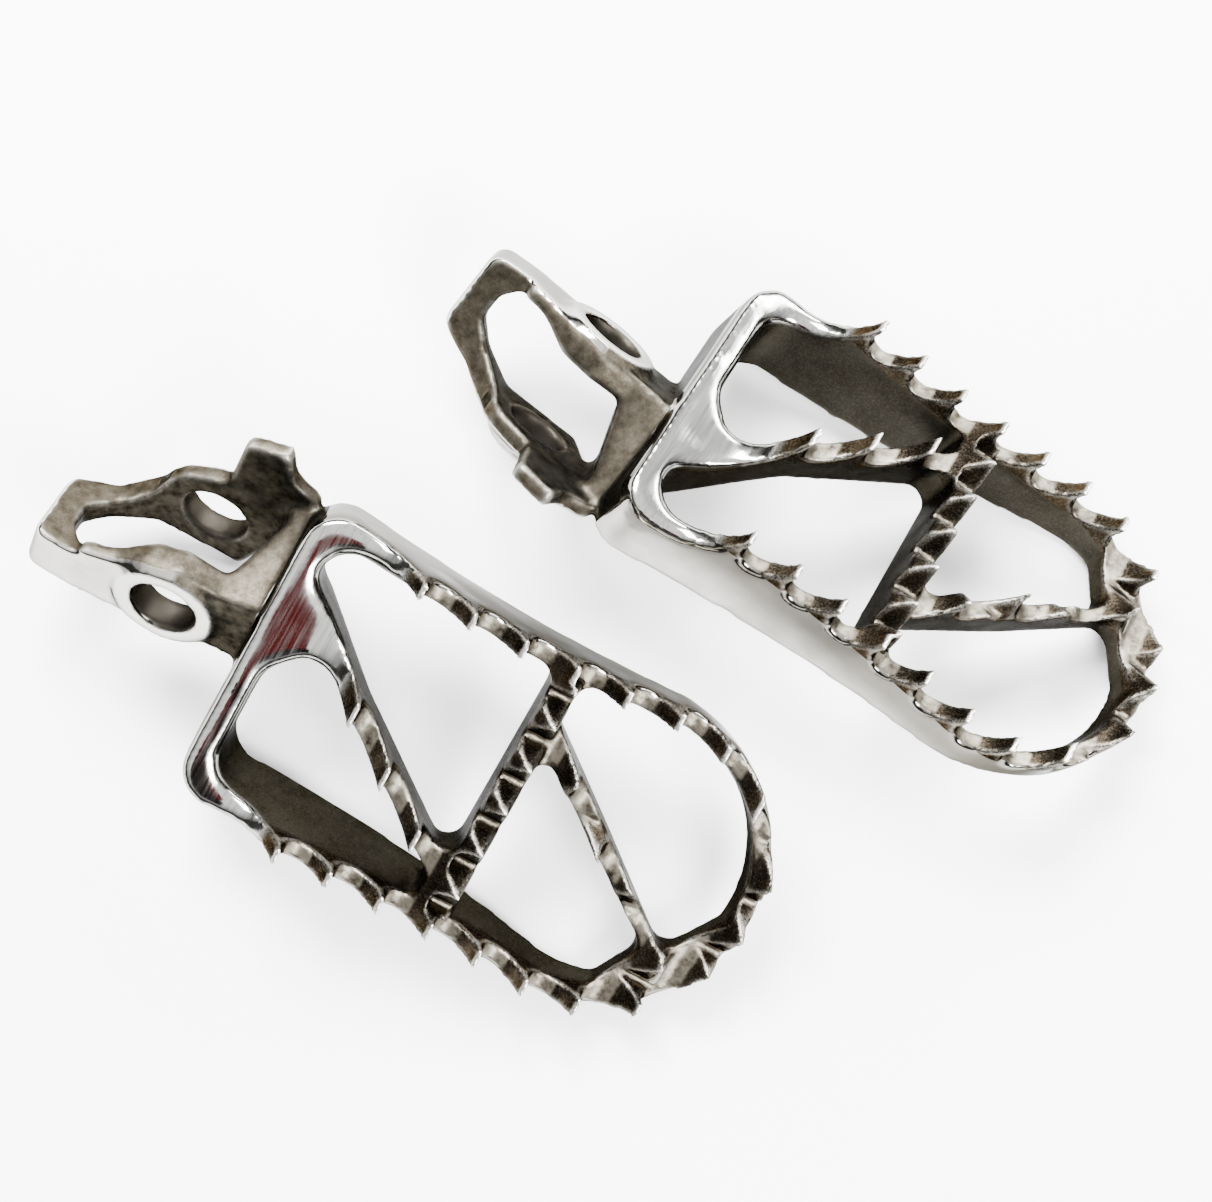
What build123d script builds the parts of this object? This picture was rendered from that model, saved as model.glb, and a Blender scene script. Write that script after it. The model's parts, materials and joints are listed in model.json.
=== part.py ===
from build123d import *
import os
from math import cos, radians, sin

os.makedirs("parts", exist_ok=True)

# A mirrored pair of cast foot pegs, lying loose on the ground plane Z = 0.
#
# Each peg is drawn in its own peg frame: X runs outboard from the inner bar, Y towards the
# raised hinge boss, Z up out of the tread, and Z = 0 is the floor of the gullets between teeth.
# Each peg is one casting, and its regions meet face to face. The regions of the right peg are
# drawn first, mirrored for the left peg, and both sets are then laid on the ground.

# Tread outline
nose_centre = 62.0       # centre of the round nose along X
nose_radius = 25.3
waist_x = 35.0
waist_half = 23.8        # half width at the waist
shoulder_half = 25.0     # half width behind the inner corners
outer_corner = 6.0       # corner radius at the inner bar
rail_width = 3.1         # rail thickness at gullet level
rail_draft = 4.1         # how much thicker a rail is at the deepest point
bar_width = 4.4          # inner bar, across its smooth top
bar_end = 13.0           # where bar and corners hand over to the rails
bar_top = -5.0           # the smooth bar lies this far below the gullets

# Depths below the gullets
deep_edge = -20.0        # underside at X = 0
underside_rise = 0.212     # the underside climbs this much per mm outboard
nose_floor = -4.2        # underside at the nose
web_floor = -7.5         # underside of crossbar and braces
draft_top = -1.5         # the rails' inner walls are upright above this and drafted below

# Teeth
tooth_height = 6.5
first_tip = 19.0
tooth_pitch = 8.45
tip_count = 9
cross_gullet = -17.6     # first gullet across the crossbar
cross_pitch = 7.4
cross_gullets = 6
nose_gullet = -12.5      # first gullet across the nose
nose_pitch = 9.5
nose_gullets = 4

# Crossbar, at the rim of the windows
cross_in = 42.2
cross_out = 46.4
cross_tip = 45.4
corner_from = 12.0       # the crossbar's corner fillets lie beyond this half width
corner_reach = 6.0

# Hinge: the pivot axis passes under the bar's outer side and climbs towards the boss
pivot = (-13.5, 2.7, -13.0)    # centre of the boss's ring face
pivot_rise = 46.6        # degrees above the tread plane
bore_radius = 5.1
ring_radius = 8.4
ring_height = 1.2
bump_radius = 7.0
boss_inner = 6.0         # depths below the ring face, along the axis
tab_inner = 19.5
tab_plate = 22.8
tab_outer = 24.5
loop_end = -22.5         # outer face of the end bridge, from the bore
bridge_edge = -15.0      # where the ears hand over to the end bridge
neck_edge = 7.0          # where the ears hand over to the neck
bar_face = 13.5          # the bar's outer face, from the bore
arm_low = -8.5
stop_edge = 9.5          # where the tab ear hands over to the stop tab
stop_inner = 19.8

# How the pair lies on the ground: each peg leans on its tab ear and its nose
right_place = (0, 0, 0)
right_turn = (-16.8, 15.4, -0.1)
left_place = (-36.9, -74.15, 0)
left_turn = (20.5, 13.7, -0.3)

reach = 60.0             # long enough to pass right through a peg
blank_low = deep_edge - 1
blank_height = tooth_height + 1 - blank_low


# Plan of the tread, at gullet level -------------------------------------------

def tread_lines(left, corner, inset):
    """Outline of the tread, moved inwards by inset, with its inner end at left."""
    half = shoulder_half - inset
    nose = nose_radius - inset
    diagonal = corner * (1 - cos(radians(45)))
    for side in (1, -1):
        ThreePointArc((left + corner, side * half), (waist_x, side * (waist_half - inset)),
                      (nose_centre, side * nose))
        ThreePointArc((left, side * (half - corner)), (left + diagonal, side * (half - diagonal)),
                      (left + corner, side * half))
    ThreePointArc((nose_centre, nose), (nose_centre + nose, 0), (nose_centre, -nose))
    Line((left, corner - half), (left, half - corner))


with BuildSketch(Plane.XY.offset(blank_low)) as outline:
    with BuildLine():
        tread_lines(0, outer_corner, 0)
    make_face()

with BuildSketch(Plane.XY.offset(draft_top)) as pocket_rim:
    with BuildLine():
        tread_lines(bar_width, outer_corner - 0.5, rail_width)
    make_face()

with BuildSketch(Plane.XY.offset(deep_edge)) as pocket_foot:
    with BuildLine():
        tread_lines(bar_width, outer_corner - 0.5, rail_width + rail_draft)
    make_face()

# The windows, one on each side of the two braces
with BuildSketch(Plane.XY.offset(draft_top)) as boss_window:
    with BuildLine():
        Polyline((bar_width, 30), (40.2, 30), (40.2, 16.5), (13.8, -3.1), (9.0, -3.4),
                 (bar_width, 1.6), close=True)
    make_face()
    add(pocket_rim.sketch, mode=Mode.INTERSECT)
    fillet(boss_window.vertices().group_by(Axis.X)[-1], 1.7)
    fillet(boss_window.vertices().sort_by(Axis.Y)[:3], 4.0)

with BuildSketch(Plane.XY.offset(draft_top)) as tab_window:
    with BuildLine():
        Polyline((bar_width, -14.5), (cross_in, 14.2), (cross_in, -30), (bar_width, -30), close=True)
    make_face()
    fillet(tab_window.vertices().sort_by(Axis.Y)[-2], 4.0)
    add(pocket_rim.sketch, mode=Mode.INTERSECT)
    fillet(tab_window.vertices().sort_by(Axis.Y)[-1], 2.5)
    fillet(tab_window.vertices().group_by(Axis.X)[-1].sort_by(Axis.Y)[0], 3.0)

with BuildSketch(Plane.XY.offset(draft_top)) as crown_window:
    with BuildLine():
        Polyline((cross_out, 30), (cross_out, -9.0), (74.8, 11.4), (69.5, 22.5), (69.5, 30),
                 close=True)
    make_face()
    add(pocket_rim.sketch, mode=Mode.INTERSECT)
    fillet(crown_window.vertices().sort_by(Axis.Y)[0], 2.0)
    fillet(crown_window.vertices().sort_by(Axis.X)[-1], 3.0)

with BuildSketch(Plane.XY.offset(draft_top)) as nose_window:
    with BuildLine():
        Polyline((cross_out, -13.5), (78.0, 10.9), (86.0, -1.5), (95, -30), (cross_out, -30),
                 close=True)
    make_face()
    add(pocket_rim.sketch, mode=Mode.INTERSECT)
    fillet(nose_window.vertices().sort_by(Axis.Y)[-1], 3.0)
    fillet(nose_window.vertices().group_by(Axis.X)[0], 3.0)

with BuildSketch(Plane.XY.offset(blank_low)) as web_plan:
    add(pocket_rim.sketch)
    for window in (boss_window, tab_window, crown_window, nose_window):
        add(window.sketch, mode=Mode.SUBTRACT)


# Spaces that the tread is cut from --------------------------------------------

# The pocket inside the rails
with BuildPart() as pocket:
    add(pocket_rim.sketch)
    add(pocket_foot.sketch)
    loft(ruled=True)
    extrude(pocket_rim.sketch, amount=2 * tooth_height)
    extrude(pocket_foot.sketch, amount=-5)

# Above the long saw wave: each tooth climbs outboard and drops sharply at its tip
with BuildPart() as saw_space:
    with BuildSketch(Plane.XZ):
        with BuildLine():
            Line((first_tip - 0.9, tooth_height - 0.7), (first_tip, tooth_height))
            for k in range(tip_count):
                tip = first_tip + k * tooth_pitch
                Line((tip, tooth_height), (tip - 0.3, 3.4))
                ThreePointArc((tip - 0.3, 3.4), (tip + 0.6, 0.8), (tip + 2.7, 0))
                if k < tip_count - 1:
                    crest = tip + tooth_pitch
                    ThreePointArc((tip + 2.7, 0), (tip + 5.7, 2.2), (crest - 0.9, tooth_height - 0.7))
                    Line((crest - 0.9, tooth_height - 0.7), (crest, tooth_height))
            last = first_tip + (tip_count - 1) * tooth_pitch
            Polyline((last + 2.7, 0), (last + 12, 0), (last + 12, 20), (-10, 20), (-10, bar_top),
                     (8.5, bar_top))
            ThreePointArc((8.5, bar_top), (15.2, -1.0), (first_tip - 0.9, tooth_height - 0.7))
        make_face()
    extrude(amount=reach, both=True)


def wave(first, pitch, count):
    """Corners of a row of V gullets with narrow floors and sharp tips between them."""
    floor_half = 0.6
    points = []
    for k in range(count):
        gullet = first + k * pitch
        points += [(gullet - floor_half, 0.5), (gullet, 0.0), (gullet + floor_half, 0.5)]
        if k < count - 1:
            points.append((gullet + pitch / 2, tooth_height))
    return points


with BuildPart() as cross_space:
    with BuildSketch(Plane.YZ):
        with BuildLine():
            Polyline((cross_gullet - 4, 14), *wave(cross_gullet, cross_pitch, cross_gullets),
                     (cross_gullet + (cross_gullets - 1) * cross_pitch + 4, 14), close=True)
        make_face()
    extrude(amount=reach)
    with BuildSketch(Plane.XZ):
        with BuildLine():
            Polyline((cross_in - 1, 14), (cross_in - 1, 1.6), (cross_tip - 0.8, tooth_height - 0.7),
                     (cross_tip, tooth_height), (cross_out, 0.4), (cross_out + 1, 0.4),
                     (cross_out + 1, 14), close=True)
        make_face()
    extrude(amount=reach, both=True)

with BuildPart() as nose_space:
    with BuildSketch(Plane.YZ):
        with BuildLine():
            Polyline((nose_gullet - 4, 14), *wave(nose_gullet, nose_pitch, nose_gullets),
                     (nose_gullet + (nose_gullets - 1) * nose_pitch + 3, 14), close=True)
        make_face()
    extrude(amount=2 * reach)

# Below the underside, which climbs to the nose
flat_from = (nose_floor - deep_edge) / underside_rise
with BuildPart() as under_space:
    with BuildSketch(Plane.XZ):
        with BuildLine():
            Polyline((-20, deep_edge - 20 * underside_rise), (flat_from, nose_floor),
                     (110, nose_floor), (110, -60), (-20, -60), close=True)
        make_face()
    extrude(amount=reach, both=True)

# Below the webs, which stay shallow once they leave the bar
with BuildPart() as web_under_space:
    with BuildSketch(Plane.XZ):
        with BuildLine():
            Polyline((-5, -21), (8, -18.2), (15, -12), (20, web_floor - 0.5),
                     (flat_from - 12, web_floor), (flat_from, nose_floor), (110, nose_floor),
                     (110, -60), (-5, -60), close=True)
        make_face()
    extrude(amount=reach, both=True)


# Tread regions ----------------------------------------------------------------

def cut_ring(low, high):
    """One stretch of the outer ring with its teeth and underside, inside an open part."""
    extrude(outline.sketch, amount=blank_height)
    split(bisect_by=Plane.YZ.offset(low), keep=Keep.TOP)
    split(bisect_by=Plane.YZ.offset(high), keep=Keep.BOTTOM)
    for space in (pocket, saw_space, under_space):
        add(space.part, mode=Mode.SUBTRACT)


def cut_web(plan):
    """The largest web of a plan with its teeth and underside, inside an open part."""
    extrude(plan.sketch.faces().sort_by(SortBy.AREA)[-1], amount=blank_height)
    for space in (saw_space, web_under_space):
        add(space.part, mode=Mode.SUBTRACT)


with BuildPart() as both_rails:
    cut_ring(bar_end, nose_centre)

with BuildPart() as boss_rail:
    add(both_rails.solids().sort_by(Axis.Y)[-1])

with BuildPart() as tab_rail:
    add(both_rails.solids().sort_by(Axis.Y)[0])

with BuildPart() as nose_arch:
    cut_ring(nose_centre, 2 * reach)
    add(nose_space.part, mode=Mode.SUBTRACT)

with BuildSketch(Plane.XY.offset(blank_low)) as gusset_plan:
    with Locations((bar_end / 2, 0)):
        Rectangle(bar_end, reach)
    add(web_plan.sketch, mode=Mode.INTERSECT)

with BuildPart() as gusset:
    cut_web(gusset_plan)

with BuildPart() as inner_bar:
    cut_ring(-5, bar_end)
    add(gusset.part)

# The crossbar has rounded corners where it runs into the rails
with BuildSketch(Plane.XY.offset(blank_low)) as crossbar_corners:
    with Locations(((cross_in + cross_out) / 2, -reach / 2 - corner_from)):
        Rectangle(2 * corner_reach, reach)
    with Locations((cross_out + corner_reach / 2, reach / 2 + corner_from)):
        Rectangle(corner_reach, reach)
    add(web_plan.sketch, mode=Mode.INTERSECT)

with BuildSketch(Plane.XY.offset(blank_low)) as crossbar_strip:
    with Locations(((cross_in + cross_out) / 2, 0)):
        Rectangle(cross_out - cross_in, reach)
    add(web_plan.sketch, mode=Mode.INTERSECT)

with BuildPart() as crossbar:
    extrude(crossbar_corners.sketch, amount=blank_height)
    add(saw_space.part, mode=Mode.SUBTRACT)
    extrude(crossbar_strip.sketch, amount=blank_height)
    for space in (cross_space, web_under_space, boss_rail, tab_rail):
        add(space.part, mode=Mode.SUBTRACT)

with BuildSketch(Plane.XY.offset(blank_low)) as inner_brace_plan:
    with Locations(((bar_end + cross_in) / 2, 0)):
        Rectangle(cross_in - bar_end, reach)
    add(web_plan.sketch, mode=Mode.INTERSECT)
    add(crossbar_corners.sketch, mode=Mode.SUBTRACT)

with BuildPart() as inner_brace:
    cut_web(inner_brace_plan)
    for neighbour in (boss_rail, tab_rail):
        add(neighbour.part, mode=Mode.SUBTRACT)

with BuildSketch(Plane.XY.offset(blank_low)) as outer_brace_plan:
    with Locations((cross_out + reach / 2, 0)):
        Rectangle(reach, reach)
    add(web_plan.sketch, mode=Mode.INTERSECT)
    add(crossbar_corners.sketch, mode=Mode.SUBTRACT)

with BuildPart() as outer_brace:
    cut_web(outer_brace_plan)
    for neighbour in (nose_space, boss_rail, tab_rail, nose_arch):
        add(neighbour.part, mode=Mode.SUBTRACT)


# Hinge clevis -----------------------------------------------------------------
# hinge: X outboard from the bore, Y up the tilted ears, depth runs down the pivot axis.
# edge_on looks along the ears: X outboard from the bore, Y down the pivot axis.
# across looks outboard: X up the ears, Y down the pivot axis.

axis_up = Vector(0, cos(radians(pivot_rise)), sin(radians(pivot_rise)))
hinge = Plane(origin=pivot, x_dir=(1, 0, 0), z_dir=-axis_up)
edge_on = Plane(origin=pivot, x_dir=(1, 0, 0), z_dir=-hinge.y_dir)
across = Plane(origin=pivot, x_dir=hinge.y_dir, z_dir=(1, 0, 0))

with BuildSketch(hinge.offset(-3)) as bore:
    Circle(bore_radius)

# The clevis seen edge on: a closed loop with the gap that takes the bracket
with BuildSketch(edge_on.offset(-reach / 2)) as loop_plan:
    with BuildLine():
        Polyline((bar_face, ring_height), (-8, ring_height), (-15, 1.0), (loop_end, 1.4),
                 (loop_end, 16.5), (-19, 18.6), (-10, tab_plate), (bar_face, tab_plate), close=True)
    make_face()
    fillet(loop_plan.vertices().sort_by(Axis.X)[:2], 2.5)

with BuildSketch(edge_on.offset(-reach / 2)) as gap_plan:
    with BuildLine():
        Polyline((-5, boss_inner), (-11, 3.8), (-15.3, 3.8), (-17.6, 7), (-17.6, 12), (-14, 15.8),
                 (-7.5, tab_inner), (9.6, tab_inner), (10.3, 17.5), (7.2, 8.2), (6.2, boss_inner),
                 close=True)
    make_face()

with BuildPart() as loop_solid:
    extrude(loop_plan.sketch, amount=reach)
    extrude(gap_plan.sketch, amount=reach, mode=Mode.SUBTRACT)

with BuildPart() as boss_ear:
    with BuildSketch(hinge):
        with BuildLine():
            Polyline((neck_edge, 8.6), (0, 9.6), (-5.5, 7.4), (-9.5, 4.2), (bridge_edge, 2.4),
                     (bridge_edge, arm_low), (-4, arm_low), (0, -8.8), (neck_edge, -5.6), close=True)
        make_face()
    extrude(amount=10)
    add(loop_solid.part, mode=Mode.INTERSECT)
    with BuildSketch(hinge):
        Circle(ring_radius)
    extrude(amount=ring_height)
    extrude(bore.sketch, amount=reach, mode=Mode.SUBTRACT)

with BuildPart() as tab_ear:
    with BuildSketch(hinge.offset(10)):
        with BuildLine():
            Polyline((neck_edge, stop_edge), (-0.5, stop_edge), (-3, 8.5), (-7, 6), (-9, 3), (-10, 0),
                     (-12, -2), (bridge_edge, -4.4), (bridge_edge, arm_low), (-4, -9), (neck_edge, -9),
                     close=True)
        make_face()
    extrude(amount=reach)
    add(loop_solid.part, mode=Mode.INTERSECT)
    with BuildSketch(hinge.offset(tab_plate)):
        Circle(bump_radius)
    extrude(amount=tab_outer - tab_plate)
    extrude(bore.sketch, amount=reach, mode=Mode.SUBTRACT)

with BuildPart() as end_bridge:
    with BuildSketch(across.offset(-reach)):
        with BuildLine():
            Polyline((2.2, -2), (-4.0, 17), (-5.6, 21), (arm_low, 21), (arm_low, -2), close=True)
        make_face()
    extrude(amount=reach + bridge_edge)
    add(loop_solid.part, mode=Mode.INTERSECT)

with BuildPart() as stop_tab:
    with BuildSketch(hinge.offset(stop_inner)):
        with BuildLine():
            Polyline((-0.5, stop_edge), (-0.5, 20.2), (6.3, 22.8), (8.4, 17.5), (bar_face, 15),
                     (bar_face, stop_edge), close=True)
        make_face()
    extrude(amount=tab_plate - stop_inner)
    for neighbour in (inner_bar, tab_ear):
        add(neighbour.part, mode=Mode.SUBTRACT)

# The neck narrows from both ears onto the outer face of the bar
with BuildPart() as neck_blank:
    with BuildSketch(across.offset(neck_edge)):
        with BuildLine():
            Polyline((-5.6, ring_height), (8.6, ring_height), (stop_edge, tab_plate), (-9, tab_plate),
                     (-8, 14), close=True)
        make_face()
    with BuildSketch(across.offset(bar_face)):
        with BuildLine():
            Polyline((-5.6, ring_height), (10.5, ring_height), (15.5, tab_plate), (14.0, tab_plate),
                     (-2, 7.2), close=True)
        make_face()
    loft(ruled=True)
    extrude(gap_plan.sketch, amount=reach, mode=Mode.SUBTRACT)
    for neighbour in (inner_bar, stop_tab, boss_ear, tab_ear):
        add(neighbour.part, mode=Mode.SUBTRACT)


with BuildPart() as hinge_neck:
    add(neck_blank.solids().sort_by(SortBy.VOLUME)[-1])


# Both pegs, laid on the ground ------------------------------------------------

regions = {
    "inner_bar": inner_bar,
    "boss_rail": boss_rail,
    "tab_rail": tab_rail,
    "nose_arch": nose_arch,
    "crossbar": crossbar,
    "inner_brace": inner_brace,
    "outer_brace": outer_brace,
    "hinge_neck": hinge_neck,
    "boss_ear": boss_ear,
    "tab_ear": tab_ear,
    "end_bridge": end_bridge,
    "stop_tab": stop_tab,
}


def lay(place, turn, mirrored):
    """All regions of one peg, turned and then lowered until the peg touches the ground."""
    turned = {}
    for name, region in regions.items():
        casting = region.part.mirror(Plane.XZ) if mirrored else region.part
        turned[name] = casting.moved(Location(place, turn))
    low = min(part.bounding_box().min.Z for part in turned.values())
    return {name: part.moved(Location((0, 0, -low))) for name, part in turned.items()}


pair = {}
for name, part in lay(right_place, right_turn, False).items():
    pair["right_" + name] = part
for name, part in lay(left_place, left_turn, True).items():
    pair["left_" + name] = part

# The origin is the middle of the pair's footprint
boxes = [part.bounding_box() for part in pair.values()]
middle_x = (min(box.min.X for box in boxes) + max(box.max.X for box in boxes)) / 2
middle_y = (min(box.min.Y for box in boxes) + max(box.max.Y for box in boxes)) / 2
lowest = min(box.min.Z for box in boxes)
print("middle of the footprint", round(middle_x, 3), round(middle_y, 3), "lowest point", round(lowest, 4))

for name, part in pair.items():
    with BuildPart() as piece:
        add(part.moved(Location((-middle_x, -middle_y, 0))))
    piece.part.label = name
    export_step(piece.part, "parts/" + name + ".step")
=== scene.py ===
import bpy, json, math
import numpy as np
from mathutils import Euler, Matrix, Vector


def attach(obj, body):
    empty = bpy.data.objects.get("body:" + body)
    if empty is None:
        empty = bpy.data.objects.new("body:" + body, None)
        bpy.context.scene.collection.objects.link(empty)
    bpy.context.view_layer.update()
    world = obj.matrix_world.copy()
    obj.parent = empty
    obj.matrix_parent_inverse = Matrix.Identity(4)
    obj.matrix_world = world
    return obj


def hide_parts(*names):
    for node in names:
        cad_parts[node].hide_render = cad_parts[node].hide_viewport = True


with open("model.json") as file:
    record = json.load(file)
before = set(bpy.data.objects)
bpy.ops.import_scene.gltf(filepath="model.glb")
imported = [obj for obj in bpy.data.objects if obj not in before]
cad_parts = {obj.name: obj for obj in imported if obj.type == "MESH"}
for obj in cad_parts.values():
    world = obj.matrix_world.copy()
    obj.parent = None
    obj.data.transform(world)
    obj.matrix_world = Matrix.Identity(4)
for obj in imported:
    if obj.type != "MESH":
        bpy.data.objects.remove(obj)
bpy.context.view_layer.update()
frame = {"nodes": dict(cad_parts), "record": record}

# A pair of cast stainless foot pegs on a white table. Each peg is one seamless casting.
# The studio is in metres. Sizes on a peg are in millimetres in the peg's own frame: x runs outboard
# from the hinge's end of the tread, y towards the boss, and z up out of the tread.
millimetre = 0.001
print("frame loaded:", len(frame["nodes"]), "regions")


# camera and studio

shot = {
    "place": (26.5, -58.6, 319.8),     # millimetres
    "turn": (11.86, -1.51, 30.71),     # degrees
    "lens": 59.6,
    "nearest": 0.01,
}
table = {"half": 3.0, "drop": 0.0001, "colour": (0.95, 0.95, 0.95, 1), "roughness": 0.6}
studio = {
    "sky": [               # height above the horizon as the sine of the angle, brightness
        (0.0, 2.2), (0.20, 2.0), (0.40, 1.0), (0.48, 0.8), (0.60, 1.6), (0.80, 3.2),
    ],
    "lamps": [             # place, size, power
        ("keyLamp", (-0.35, 0.30, 0.55), (0.45, 0.30), 34.0),
        ("fillLamp", (0.45, -0.25, 0.50), (0.35, 0.25), 18.0),
        ("rimLamp", (0.10, 0.60, 0.30), (0.60, 0.12), 13.0),
    ],
    "cards": [             # place, size, colour
        ("redCard", (0.036, -0.194, 0.266), (0.140, 0.068), (0.30, 0.012, 0.015, 1)),
        ("blackCard", (0.033, -0.272, 0.225), (0.170, 0.116), (0.006, 0.005, 0.004, 1)),
    ],
    "cardAim": (-0.038, -0.037, 0.024),      # on the left peg's bar
    "band": {"radius": 1.0, "low": 0.11, "high": 0.45, "sides": 64, "colour": (0.06, 0.058, 0.052, 1)},
}


def placeObject(name, contents):
    thing = bpy.data.objects.new(name, contents)
    bpy.context.scene.collection.objects.link(thing)
    return thing


def makeMesh(name, points, faces):
    mesh = bpy.data.meshes.new(name)
    mesh.from_pydata(points, [], faces)
    return mesh


def makeSheet(name, wide, tall):
    corners = [(-wide, -tall, 0), (wide, -tall, 0), (wide, tall, 0), (-wide, tall, 0)]
    return makeMesh(name, corners, [(0, 1, 2, 3)])


def nodeTree(thing):
    thing.use_nodes = True
    tree = thing.node_tree
    tree.nodes.clear()
    return tree


def add(tree, kind, **values):
    node = tree.nodes.new(kind)
    for key, value in values.items():
        setattr(node, key, value)
    return node


def makeCamera():
    camera = placeObject("camera", bpy.data.cameras.new("camera"))
    camera.location = Vector(shot["place"]) * millimetre
    camera.rotation_euler = Euler([math.radians(angle) for angle in shot["turn"]])
    camera.data.lens = shot["lens"]
    camera.data.clip_start = shot["nearest"]
    bpy.context.scene.camera = camera


def makeSky():
    world = bpy.data.worlds.new("studioSky")
    bpy.context.scene.world = world
    tree = nodeTree(world)
    place = add(tree, "ShaderNodeTexCoord")
    split = add(tree, "ShaderNodeSeparateXYZ")
    ramp = add(tree, "ShaderNodeValToRGB")
    sky = add(tree, "ShaderNodeBackground")
    out = add(tree, "ShaderNodeOutputWorld")
    stops = ramp.color_ramp.elements
    while len(stops) < len(studio["sky"]):
        stops.new(0.5)
    for stop, (height, brightness) in zip(stops, studio["sky"]):
        stop.position = height
        stop.color = (brightness, brightness, brightness, 1)
    tree.links.new(place.outputs["Generated"], split.inputs[0])
    tree.links.new(split.outputs["Z"], ramp.inputs[0])
    tree.links.new(ramp.outputs[0], sky.inputs["Color"])
    tree.links.new(sky.outputs[0], out.inputs[0])


def makeTable():
    mesh = makeSheet("tableTop", table["half"], table["half"])
    top = placeObject("tableTop", mesh)
    top.location.z = -table["drop"]
    paint = bpy.data.materials.new("tablePaper")
    tree = nodeTree(paint)
    shader = add(tree, "ShaderNodeBsdfPrincipled")
    shader.inputs["Base Color"].default_value = table["colour"]
    shader.inputs["Roughness"].default_value = table["roughness"]
    out = add(tree, "ShaderNodeOutputMaterial")
    tree.links.new(shader.outputs[0], out.inputs[0])
    mesh.materials.append(paint)


def makeLamps():
    for name, place, size, power in studio["lamps"]:
        lamp = bpy.data.lights.new(name, "AREA")
        lamp.shape = "RECTANGLE"
        lamp.size, lamp.size_y = size
        lamp.energy = power
        holder = placeObject(name, lamp)
        holder.location = place
        holder.rotation_euler = (-Vector(place)).to_track_quat("-Z", "Y").to_euler()


def makeCard(name, mesh, colour):
    # seen only in reflections
    card = placeObject(name, mesh)
    card.visible_camera = card.visible_diffuse = card.visible_shadow = False
    paint = bpy.data.materials.new(name + "Paint")
    tree = nodeTree(paint)
    light = add(tree, "ShaderNodeEmission")
    light.inputs["Color"].default_value = colour
    out = add(tree, "ShaderNodeOutputMaterial")
    tree.links.new(light.outputs[0], out.inputs[0])
    mesh.materials.append(paint)
    return card


def makeCards():
    # the left peg's bright bar picks these two up
    for name, place, (wide, tall), colour in studio["cards"]:
        card = makeCard(name, makeSheet(name, wide / 2, tall / 2), colour)
        card.location = place
        toPeg = Vector(studio["cardAim"]) - Vector(place)
        card.rotation_euler = toPeg.to_track_quat("Z", "Y").to_euler()


def makeBand():
    # a dark band all round the table gives the polished edges their dark lines
    band = studio["band"]
    count = band["sides"]
    points, faces = [], []
    for k in range(count):
        turn = 2 * math.pi * k / count
        x, y = band["radius"] * math.cos(turn), band["radius"] * math.sin(turn)
        points += [(x, y, band["low"]), (x, y, band["high"])]
        after = (k + 1) % count
        faces.append((2 * k, 2 * after, 2 * after + 1, 2 * k + 1))
    makeCard("darkBand", makeMesh("darkBand", points, faces), band["colour"])


makeCamera()
makeSky()
makeTable()
makeLamps()
makeCards()
makeBand()
print("studio ready")


# each peg's own frame, found from its bore and its stop face

hinge = {
    "ringCentre": (-13.5, 2.7, -13.0),      # middle of the boss ring's face
    "boreDepth": 3.0,       # how far below the ring face the bore mount lies
    "boreRadius": 5.1,
    "pivotRise": 46.6,      # degrees, from the tread's plane up to the pivot
    "stopSlope": 20.92,     # degrees, from the tread's length round to the stop face
}
mounts = {mount["name"]: mount for mount in frame["record"]["mounts"]}
pivotCos = math.cos(math.radians(hinge["pivotRise"]))
pivotSin = math.sin(math.radians(hinge["pivotRise"]))


def pegAxes(side):
    up = Vector(mounts[side + "_pivot_bore"]["axis"]).normalized()
    stop = Vector(mounts[side + "_stop_face"]["axis"]).normalized()
    along = up.cross(stop) if side == "right" else stop.cross(up)
    slope = math.radians(hinge["stopSlope"])
    outboard = along * math.cos(slope) - stop * math.sin(slope)
    lift = stop * math.cos(slope) + along * math.sin(slope)
    bossward = up * pivotCos - lift * pivotSin
    treadUp = up * pivotSin + lift * pivotCos
    return up, np.array([outboard, bossward, treadUp])


def placeOnPeg(side, points):
    up, axes = pegAxes(side)
    ringCentre = Vector(mounts[side + "_pivot_bore"]["pos_m"]) / millimetre + up * hinge["boreDepth"]
    return (points - np.array(ringCentre)) @ axes.T + np.array(hinge["ringCentre"])


def turnOnPeg(side, normals):
    return normals @ pegAxes(side)[1].T


# the casting's skin: the regions are joined, covered with one even grid and eased

skin = {"grid": 0.455, "ease": 0.5, "easeRounds": 3}


def joinRegions(side):
    points, faces = [], []
    for name, node in frame["nodes"].items():
        if name.startswith(side + "_"):
            start = len(points)
            points += [tuple(vertex.co) for vertex in node.data.vertices]
            faces += [[start + i for i in face.vertices] for face in node.data.polygons]
    return placeObject(side + "Blank", makeMesh(side + "Blank", points, faces))


def skinCasting(side):
    blank = joinRegions(side)
    grid = blank.modifiers.new("skin", "REMESH")
    grid.mode = "VOXEL"
    grid.voxel_size = skin["grid"] * millimetre
    ease = blank.modifiers.new("ease", "SMOOTH")
    ease.factor = skin["ease"]
    ease.iterations = skin["easeRounds"]
    graph = bpy.context.evaluated_depsgraph_get()
    mesh = bpy.data.meshes.new_from_object(blank.evaluated_get(graph))
    mesh.name = side + "PegCasting"
    casting = placeObject(side + "PegCasting", mesh)
    bpy.data.objects.remove(blank)
    for face in mesh.polygons:
        face.use_smooth = True
    print(side, "skin:", len(mesh.vertices), "points,", len(mesh.polygons), "faces")
    return casting


def readVectors(collection, key):
    flat = np.empty(len(collection) * 3)
    collection.foreach_get(key, flat)
    return flat.reshape(-1, 3)


def smoothStep(low, high, value):
    t = np.clip((value - low) / (high - low), 0, 1)
    return t * t * (3 - 2 * t)


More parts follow.
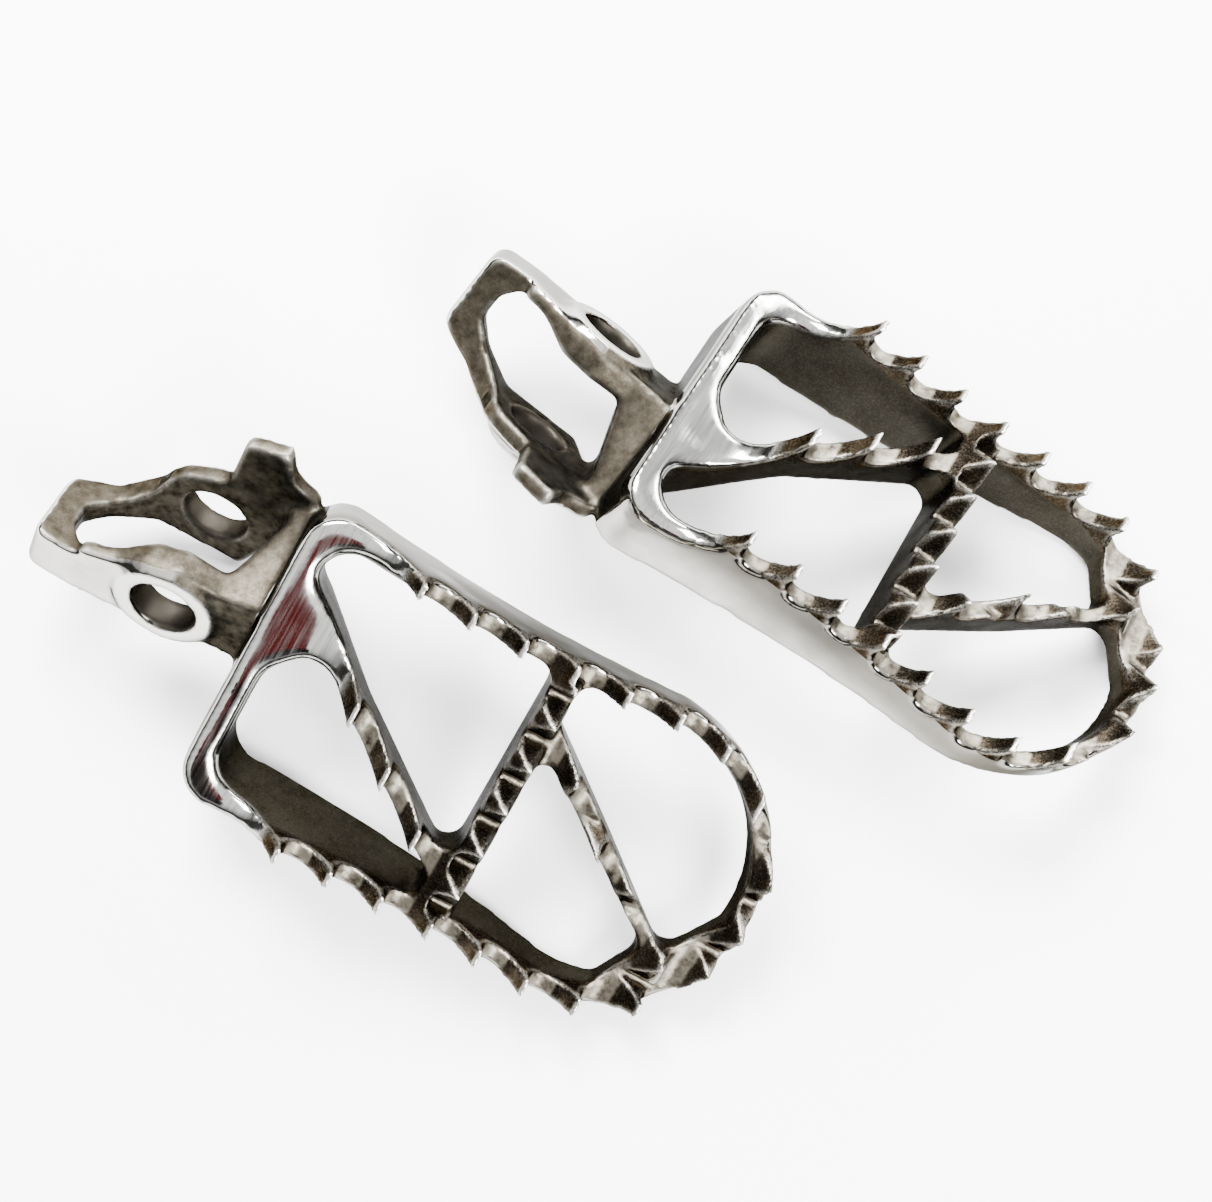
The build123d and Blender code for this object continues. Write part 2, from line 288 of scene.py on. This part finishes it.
def meanOfNeighbours(mesh, values):
    ends = np.empty(len(mesh.edges) * 2, dtype=np.int64)
    mesh.edges.foreach_get("vertices", ends)
    a, b = ends.reshape(-1, 2).T
    count = np.bincount(ends, minlength=len(values)).clip(1)
    sums = [np.bincount(a, column[b], len(values)) + np.bincount(b, column[a], len(values))
            for column in values.T]
    return np.stack(sums, axis=1) / count[:, None]


# rounding the edges off, most on the bar and least on the teeth

tread = {
    "noseX": 62.0, "noseRadius": 25.3,
    "waistX": 35.0, "waistHalf": 23.8,
    "bulge": 1.4, "bulgeReach": 27,     # how much wider each side is, and how far from the waist
}
rounding = {
    "rounds": 30, "step": 0.6,
    "bar": 0.9, "hinge": 0.4, "shoulder": 0.30, "teeth": 0.02, "wall": 0.2,
    "teethLow": -1.5, "shoulderHigh": 1.0, "shoulderWide": 1.2, "barEnd": 13, "barLow": -9,
}


def insideEdge(x, y):
    # distance in from the tread's outline
    bulge = ((x - tread["waistX"]) / tread["bulgeReach"]) ** 2 * tread["bulge"]
    side = tread["waistHalf"] + bulge - np.abs(y)
    nose = tread["noseRadius"] - np.hypot(x - tread["noseX"], y)
    return np.where(x > tread["noseX"], nose, np.minimum(side, x))


def roundingWeight(x, y, z):
    onShoulder = (z < rounding["shoulderHigh"]) & (insideEdge(x, y) < rounding["shoulderWide"])
    onBar = (x < rounding["barEnd"]) & (z > rounding["barLow"])
    weight = np.full(len(x), rounding["wall"])
    weight = np.where(z > rounding["teethLow"], rounding["teeth"], weight)
    weight = np.where(onShoulder, rounding["shoulder"], weight)
    weight = np.where(onBar, rounding["bar"], weight)
    return np.where(x < 0, rounding["hinge"], weight)


def roundEdges(side, casting):
    mesh = casting.data
    points = readVectors(mesh.vertices, "co")
    weight = roundingWeight(*placeOnPeg(side, points / millimetre).T)
    for turn in range(rounding["rounds"]):
        pull = meanOfNeighbours(mesh, points) - points
        points = points + pull * weight[:, None] * rounding["step"]
    mesh.vertices.foreach_set("co", points.ravel())
    mesh.update()


# where each finish goes: a zone is 0 up to its first number and 1 from its second

zones = {
    "hinge": (-0.2, -0.6),              # x
    "outerFacing": (0.2, 0.45),         # away from the tread's middle line
    "outerReach": (18.5, 20),           # from the tread's middle line
    "endX": (6.5, 5.5),
    "endSkin": (2.2, 1.2),              # in from the outline
    "barX": (16.5, 14.0),
    "barZ": (-8.0, -7.0),
    "barFacing": (0.3, 0.6),            # up
    "castEndX": (2.0, 1.0),             # the end wall is left as cast below the bar
    "castEndZ": (-8.5, -9.5),
    "ringDepth": (0.7, 0.3),            # either way from the ring's face
    "ringFacing": (-0.8, -0.95),        # along the pivot, less than 0 is out of the boss
    "bossFacing": (-0.2, -0.6),
    "bossDepth": (4.0, 2.0),            # down the pivot from the ring's face
    "bossX": (-10.5, -17.0),            # only the boss ear's bridge side is polished
    "tabFacing": (0.2, 0.6),
    "tabDepth": (20, 22),
    "bridgeX": (-33.5, -34.5),
    "bridgeFacing": (-0.3, -0.5),
    # unpolished hinge faces that look up get a lighter colour and the rest a much darker one: painted
    # light and painted shade
    "lipFacing": (0.35, 0.6),           # square to the pivot, upwards
    "bore": (0.55, 0.25),               # from the bore's wall
    "shadeZ": (-13.0, -2.5),            # the outer wall darkens towards the teeth
    "polishZ": (1.2, 0.2),
    "teethZ": (-0.9, -0.3),
    "teethX": (11, 14),
    # the up-facing gullet floors, which carry a painted highlight
    "gulletZ": (1.7, 0.8),
    "gulletFacing": (0.6, 0.85),        # up
    # the tooth crests, which carry a painted highlight
    "tipZ": (5.6, 6.1),
    "edge": (0.012, 0.045),             # how far a point stands out from its neighbours
}
# bright edges: partly wear, partly a painted highlight
edgeWearAndHighlight = {"spreadRounds": 2, "lostOnTeeth": 0.6}


def zone(name, value):
    return smoothStep(*zones[name], value)


def findEdges(mesh):
    points = readVectors(mesh.vertices, "co")
    normals = readVectors(mesh.vertex_normals, "vector")
    bulge = -((meanOfNeighbours(mesh, points) - points) * normals).sum(axis=1) / millimetre
    for turn in range(edgeWearAndHighlight["spreadRounds"]):
        bulge = meanOfNeighbours(mesh, bulge[:, None])[:, 0]
    return zone("edge", bulge)


def hingeMasks(place, facing, onHinge):
    x = place[:, 0]
    fromRing = place - np.array(hinge["ringCentre"])
    depth = -(fromRing[:, 1] * pivotCos + fromRing[:, 2] * pivotSin)
    height = -fromRing[:, 1] * pivotSin + fromRing[:, 2] * pivotCos
    depthFacing = -(facing[:, 1] * pivotCos + facing[:, 2] * pivotSin)
    heightFacing = -facing[:, 1] * pivotSin + facing[:, 2] * pivotCos
    bossFace = zone("bossFacing", depthFacing) * zone("bossDepth", depth) * zone("bossX", x)
    tabFace = zone("tabFacing", depthFacing) * zone("tabDepth", depth)
    bridgeFace = onHinge * zone("bridgeX", x) * zone("bridgeFacing", facing[:, 0])
    polished = np.maximum(onHinge * np.maximum(bossFace, tabFace), bridgeFace)
    # unpolished hinge faces: a lit copy where they look up, a shaded copy elsewhere (painted light and
    # painted shade)
    litLip = onHinge * (1 - polished) * zone("lipFacing", heightFacing)
    fromBoreWall = np.abs(np.hypot(fromRing[:, 0], height) - hinge["boreRadius"])
    return polished, {
        "litLip": litLip,
        "shadedHollow": onHinge * (1 - polished) * (1 - litLip),
        "boreFace": zone("ringDepth", np.abs(depth)) * zone("ringFacing", depthFacing) * onHinge,
        "bore": onHinge * zone("bore", fromBoreWall),
    }


def outerWall(x, y, facing):
    awayX = np.where(x > tread["noseX"], x - tread["noseX"], 0)
    reach = np.hypot(awayX, y).clip(0.1)
    outward = (facing[:, 0] * awayX + facing[:, 1] * y) / reach
    sides = zone("outerFacing", outward) * zone("outerReach", reach)
    endSkin = zone("endSkin", np.minimum(x, insideEdge(x, y)))
    end = zone("outerFacing", -facing[:, 0]) * zone("endX", x) * endSkin
    return np.maximum(sides, end)


def treadMasks(place, facing, onTread, hingePolish):
    x, y, z = place.T
    outer = outerWall(x, y, facing) * onTread
    bar = zone("barX", x) * zone("barZ", z) * zone("barFacing", facing[:, 2]) * onTread
    castEnd = zone("castEndX", x) * zone("castEndZ", z) * onTread
    polish = np.clip(outer * zone("polishZ", z) + bar + hingePolish, 0, 1)
    teeth = zone("teethZ", z) * onTread * (1 - bar) * zone("teethX", x)
    return {
        "polish": polish * (1 - castEnd),
        "shade": outer * zone("shadeZ", z),
        "bar": bar,
        "teeth": teeth,
        "gullet": teeth * zone("gulletZ", z) * zone("gulletFacing", facing[:, 2]),
        "tip": teeth * zone("tipZ", z),
        "wall": np.maximum(onTread * (1 - outer) * (1 - teeth) * (1 - bar), castEnd),
    }


def paintMasks(side, casting):
    mesh = casting.data
    place = placeOnPeg(side, readVectors(mesh.vertices, "co") / millimetre)
    facing = turnOnPeg(side, readVectors(mesh.vertex_normals, "vector"))
    onHinge = zone("hinge", place[:, 0])
    hingePolish, masks = hingeMasks(place, facing, onHinge)
    masks.update(treadMasks(place, facing, 1 - onHinge, hingePolish))
    masks["edge"] = findEdges(mesh) * (1 - edgeWearAndHighlight["lostOnTeeth"] * masks["teeth"])
    for name, values in masks.items():
        layer = mesh.attributes.new(name, "FLOAT", "POINT")
        layer.data.foreach_set("value", values.astype(np.float32))
    layer = mesh.attributes.new("pegPlace", "FLOAT_VECTOR", "POINT")
    layer.data.foreach_set("vector", place.astype(np.float32).ravel())


# finishes: one steel, coloured by how each part of it was left, with painted light and shade on the
# hinge, the teeth, the edges and the outer wall

steel = {
    "bar": (0.34, 0.34, 0.325, 1), "barStreak": (0.23, 0.227, 0.218, 1),
    "polished": (0.42, 0.412, 0.385, 1), "polishedWorn": (0.29, 0.283, 0.258, 1),
    "shaded": (0.075, 0.069, 0.057, 1),
    "cast": (0.035, 0.030, 0.022, 1), "castBright": (0.16, 0.145, 0.115, 1),
    # litLip and shadedHollow: lit and shaded copies of the hinge's cast finish, painted light and
    # painted shade by facing
    "litLip": (0.070, 0.062, 0.048, 1), "lipBrown": (0.014, 0.011, 0.0072, 1),
    "shadedHollow": (0.0115, 0.0105, 0.0080, 1), "hollowBright": (0.045, 0.041, 0.033, 1),
    "ramp": (0.012, 0.0095, 0.0065, 1), "rampBrown": (0.029, 0.0225, 0.0150, 1),
    "rampSpeck": (0.13, 0.115, 0.090, 1),
    # gullet: a painted highlight on the up-facing gullet floors, broken by dark blotches
    "gullet": (0.170, 0.154, 0.122, 1), "gulletDark": (0.024, 0.019, 0.013, 1),
    "wall": (0.026, 0.0243, 0.0195, 1), "wallBrown": (0.015, 0.0130, 0.0096, 1),
    "wallSpeck": (0.070, 0.065, 0.053, 1),
    # tip: a painted highlight along the tooth crests
    "tip": (0.60, 0.58, 0.54, 1), "ring": (0.46, 0.455, 0.43, 1), "bore": (0.030, 0.027, 0.022, 1),
    # edge: a brighter colour on the convex edges, partly wear and partly a painted highlight
    "edge": (0.50, 0.48, 0.43, 1),
    "grazing": (0.30, 0.30, 0.30, 1),      # tint at shallow angles
}


textures = {               # scale per millimetre, detail, roughness, distortion
    "ripple": (0.11, 1.0, 0.6, 0.0),
    "blotch": (0.55, 5.0, 0.65, 0.0),
    "broad": (0.12, 3.0, 0.6, 0.0),
    "grain": (2.6, 6.0, 0.7, 0.0),
    "fine": (7.0, 3.0, 0.6, 0.0),
    "wavy": (0.5, 2.0, 0.5, 0.8),
}
brushing = {"along": 0.09, "across": 2.2, "detail": 5.0}
cuts = {                   # softness of a mask's edge, how far the noise shifts it
    "shadedHollow": (0.10, 0.5), "litLip": (0.2, 0.5), "wall": (0.10, 0.5),
    "teeth": (0.08, 0.3), "gullet": (0.25, 0.6), "polish": (0.10, 0.5),
}
patches = {                # texture, where on it the second colour starts and is full, least, most
    "castBright": ("grain", 0.40, 0.7, 0.0, 1.0),
    "wallBrown": ("broad", 0.3, 0.7, 0.0, 1.0),
    "wallSpeck": ("grain", 0.45, 0.8, 0.0, 0.5),
    "rampBrown": ("broad", 0.35, 0.65, 0.0, 1.0),
    "rampSpeck": ("grain", 0.5, 0.75, 0.0, 0.45),
    "gulletDark": ("blotch", 0.45, 0.70, 0.0, 1.0),
    "polishedWorn": ("broad", 0.3, 0.7, 0.0, 1.0),
    "barStreak": ("streaks", 0.42, 0.66, 0.0, 1.0),
    "lipBrown": ("blotch", 0.30, 0.75, 0.0, 1.0),
    "lipSpeck": ("grain", 0.45, 0.75, 0.0, 0.5),
    "hollowBright": ("blotch", 0.35, 0.7, 0.0, 1.0),
    "edge": ("grain", 0.25, 0.6, 0.15, 0.8),
}
shading = 0.8              # most of the shaded colour on the outer wall
roughness = {              # texture, its low and high, roughness there
    "cast": ("grain", 0.3, 0.7, 0.34, 0.52),
    "wall": ("grain", 0.3, 0.7, 0.28, 0.42),
    "teeth": ("grain", 0.3, 0.7, 0.20, 0.38),
    "gullet": ("fine", 0.3, 0.7, 0.26, 0.42),
    "polish": ("broad", 0.3, 0.7, 0.06, 0.14),
    "bar": ("streaks", 0.3, 0.7, 0.06, 0.22),
}
ringRoughness = 0.28
relief = {                 # distances in metres, then strengths
    "grainDistance": 0.00012, "cast": 0.45, "gullet": 0.8, "polish": 0.03, "ring": 0.04,
    "rippleDistance": 0.0012, "ripple": 0.35,
}
castStainless = bpy.data.materials.new("castStainless")
steelTree = nodeTree(castStainless)


def addSteel(kind, **values):
    return add(steelTree, kind, **values)


def feed(socket, value):
    # a number or a colour is set, and another node's output is linked
    if isinstance(value, (tuple, int, float)):
        socket.default_value = value
    else:
        steelTree.links.new(value, socket)


def mask(name):
    return addSteel("ShaderNodeAttribute", attribute_name=name).outputs["Fac"]


def spread(value, low, high, start, end):
    node = addSteel("ShaderNodeMapRange")
    feed(node.inputs["Value"], value)
    for key, number in (("From Min", low), ("From Max", high), ("To Min", start), ("To Max", end)):
        feed(node.inputs[key], number)
    return node.outputs["Result"]


def calculate(operation, a, b):
    node = addSteel("ShaderNodeMath", operation=operation, use_clamp=True)
    feed(node.inputs[0], a)
    feed(node.inputs[1], b)
    return node.outputs[0]


def mixColour(factor, a, b):
    node = addSteel("ShaderNodeMix", data_type="RGBA")
    feed(node.inputs["Factor"], factor)
    feed(node.inputs[6], a)
    feed(node.inputs[7], b)
    return node.outputs[2]


def mixNumber(factor, a, b):
    node = addSteel("ShaderNodeMix", data_type="FLOAT")
    feed(node.inputs["Factor"], factor)
    feed(node.inputs[2], a)
    feed(node.inputs[3], b)
    return node.outputs[0]


def makeTextures():
    place = addSteel("ShaderNodeAttribute", attribute_name="pegPlace").outputs["Vector"]
    made = {}
    for name, numbers in textures.items():
        node = addSteel("ShaderNodeTexNoise")
        feed(node.inputs["Vector"], place)
        for key, number in zip(("Scale", "Detail", "Roughness", "Distortion"), numbers):
            feed(node.inputs[key], number)
        made[name] = node.outputs["Fac"]
    stretch = addSteel("ShaderNodeMapping")
    feed(stretch.inputs["Vector"], place)
    feed(stretch.inputs["Scale"], (brushing["across"], brushing["along"], brushing["across"]))
    streaks = addSteel("ShaderNodeTexNoise")
    feed(streaks.inputs["Vector"], stretch.outputs[0])
    feed(streaks.inputs["Scale"], 1.0)
    feed(streaks.inputs["Detail"], brushing["detail"])
    made["streaks"] = streaks.outputs["Fac"]
    return made


def makeCuts(made):
    # jagged grinding edges, and jagged borders to the painted light and shade: the masks are shifted
    # by a little noise before they are cut
    cutMasks = {}
    for name, (softness, shift) in cuts.items():
        offset = calculate("SUBTRACT", calculate("MULTIPLY", made["wavy"], shift), shift / 2)
        moved = calculate("ADD", mask(name), offset)
        cutMasks[name] = spread(moved, 0.5 - softness, 0.5 + softness, 0.0, 1.0)
    return cutMasks


def makeColour(made, cutMasks):
    def patch(first, second, where=None):
        texture, *limits = patches[where or second]
        return mixColour(spread(made[texture], *limits), first, steel[second])

    wall = patch(patch(steel["wall"], "wallBrown"), "wallSpeck")
    ramp = patch(patch(steel["ramp"], "rampBrown"), "rampSpeck")
    litLip = patch(patch(steel["litLip"], "lipBrown"), "lipBrown", "lipSpeck")
    polished = patch(steel["polished"], "polishedWorn")
    shaded = mixColour(calculate("MULTIPLY", mask("shade"), shading), polished, steel["shaded"])
    # convex edges brightened: partly wear, partly a painted highlight
    texture, *limits = patches["edge"]
    edgeWearAndHighlightMask = calculate("MULTIPLY", mask("edge"), spread(made[texture], *limits))
    layers = [
        # painted shade on the hinge faces that don't look up, painted light on those that do
        (cutMasks["shadedHollow"], patch(steel["shadedHollow"], "hollowBright")),
        (cutMasks["litLip"], litLip),
        (cutMasks["wall"], wall),
        (cutMasks["teeth"], ramp),
        # painted highlight on the up-facing gullet floors
        (cutMasks["gullet"], patch(steel["gullet"], "gulletDark")),
        (cutMasks["polish"], shaded),
        (edgeWearAndHighlightMask, steel["edge"]),
        (mask("bar"), patch(steel["bar"], "barStreak")),
        # painted highlight along the tooth crests
        (mask("tip"), steel["tip"]),
        (mask("boreFace"), steel["ring"]),
        (mask("bore"), steel["bore"]),
    ]
    colour = patch(steel["cast"], "castBright")
    for where, layer in layers:
        colour = mixColour(where, colour, layer)
    return colour


def makeRoughness(made, cutMasks):
    def over(name):
        texture, *limits = roughness[name]
        return spread(made[texture], *limits)

    rough = over("cast")
    for name in ("wall", "teeth", "gullet", "polish"):
        rough = mixNumber(cutMasks[name], rough, over(name))
    rough = mixNumber(mask("bar"), rough, over("bar"))
    return mixNumber(mask("boreFace"), rough, ringRoughness)


def makeRelief(made, cutMasks):
    ripple = addSteel("ShaderNodeBump")
    feed(ripple.inputs["Height"], made["ripple"])
    feed(ripple.inputs["Distance"], relief["rippleDistance"])
    feed(ripple.inputs["Strength"], relief["ripple"])
    strength = mixNumber(cutMasks["gullet"], relief["cast"], relief["gullet"])
    strength = mixNumber(cutMasks["polish"], strength, relief["polish"])
    strength = mixNumber(mask("boreFace"), strength, relief["ring"])
    grain = addSteel("ShaderNodeBump")
    feed(grain.inputs["Height"], mixColour(0.5, made["grain"], made["fine"]))
    feed(grain.inputs["Distance"], relief["grainDistance"])
    feed(grain.inputs["Strength"], strength)
    feed(grain.inputs["Normal"], ripple.outputs[0])
    return grain.outputs[0]


def makeSteel():
    made = makeTextures()
    cutMasks = makeCuts(made)
    shader = addSteel("ShaderNodeBsdfPrincipled")
    feed(shader.inputs["Metallic"], 1.0)
    feed(shader.inputs["Specular Tint"], steel["grazing"])
    feed(shader.inputs["Base Color"], makeColour(made, cutMasks))
    feed(shader.inputs["Roughness"], makeRoughness(made, cutMasks))
    feed(shader.inputs["Normal"], makeRelief(made, cutMasks))
    out = addSteel("ShaderNodeOutputMaterial")
    feed(out.inputs[0], shader.outputs[0])


makeSteel()
print("steel ready")
for side in ("right", "left"):
    casting = skinCasting(side)
    roundEdges(side, casting)
    paintMasks(side, casting)
    casting.data.materials.append(castStainless)
    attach(casting, side + "_peg")
    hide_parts(*[name for name in frame["nodes"] if name.startswith(side + "_")])
    print(side, "peg finished")
